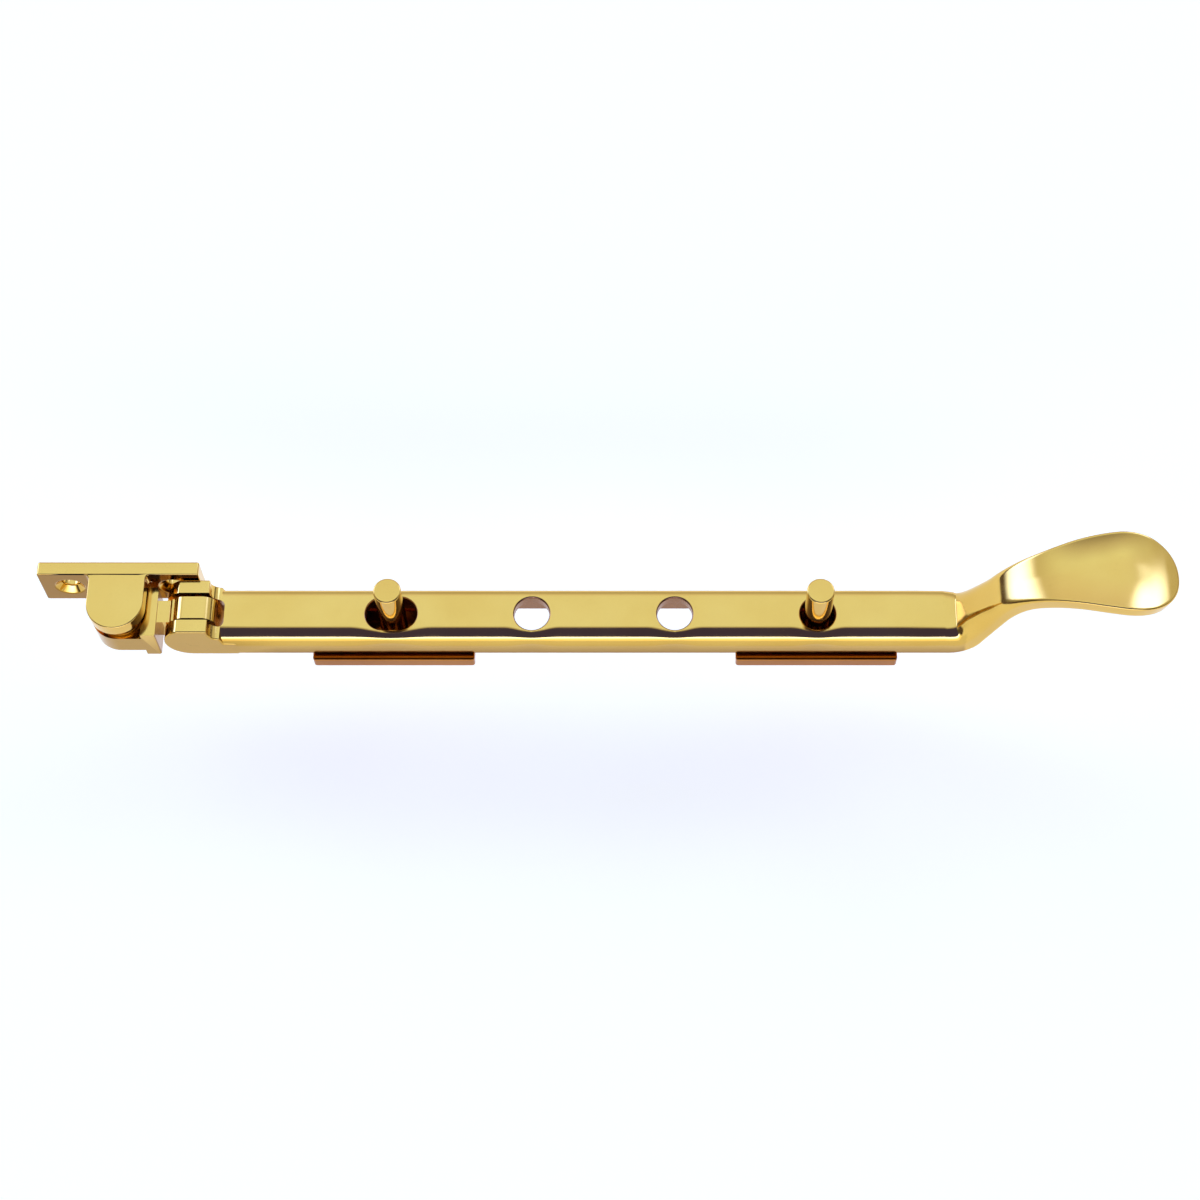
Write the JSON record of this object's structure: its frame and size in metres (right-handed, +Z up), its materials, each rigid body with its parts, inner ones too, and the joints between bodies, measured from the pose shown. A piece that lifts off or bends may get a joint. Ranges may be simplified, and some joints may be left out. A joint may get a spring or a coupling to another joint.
{
  "type": "casement window stay",
  "caption": "Polished brass window stay: sash bracket with riveted swivel, hinged arm with peg holes and a thumb handle, and pegs on screw-down plates.",
  "frame": {"origin": "middle of the bracket's back face, between its two screw holes", "axes": "+X along the arm towards its handle, +Y towards the sash that the bracket is screwed to, +Z up, the way the pegs point"},
  "size_m": [0.2872, 0.0224, 0.0377],
  "materials": {
    "bracket_brass": "polished and lacquered",
    "swivel_brass": "polished and lacquered",
    "arm_brass": "polished and lacquered",
    "peg_brass": "turned and polished",
    "plate_brass": "polished, slightly redder brass",
    "pin_brass": "drawn brass rod, polished flush",
    "washer_brass": "stamped sheet, unpolished"
  },
  "bodies": {
    "bracket": {"bracket": "bracket_brass", "pivot_rivet": "pin_brass"},
    "swivel": {"swivel": "swivel_brass", "pivot_washer": "washer_brass"},
    "arm": {"stay_arm": "arm_brass", "hinge_pin": "pin_brass"},
    "peg_inner": {"peg_plate_inner": "plate_brass", "peg_inner": "peg_brass"},
    "peg_outer": {"peg_plate_outer": "plate_brass", "peg_outer": "peg_brass"}
  },
  "joints": [
    {"name": "swivel_pivot", "type": "hinge", "parent": "bracket", "child": "swivel", "pos_m": [0, -0.0115, 0], "axis": [0, 0, -1], "range_deg": [0, 180]},
    {"name": "arm_lift", "type": "hinge", "parent": "swivel", "child": "arm", "pos_m": [0.0193, -0.0115, -0.0014], "axis": [0, -1, 0], "range_deg": [0, 90]},
    {"name": "peg_inner_drop", "type": "slide", "parent": "arm", "child": "peg_inner", "axis": [0, 0, -1], "range_m": [0, 0.03]},
    {"name": "peg_outer_drop", "type": "slide", "parent": "arm", "child": "peg_outer", "axis": [0, 0, -1], "range_m": [0, 0.03]}
  ]
}
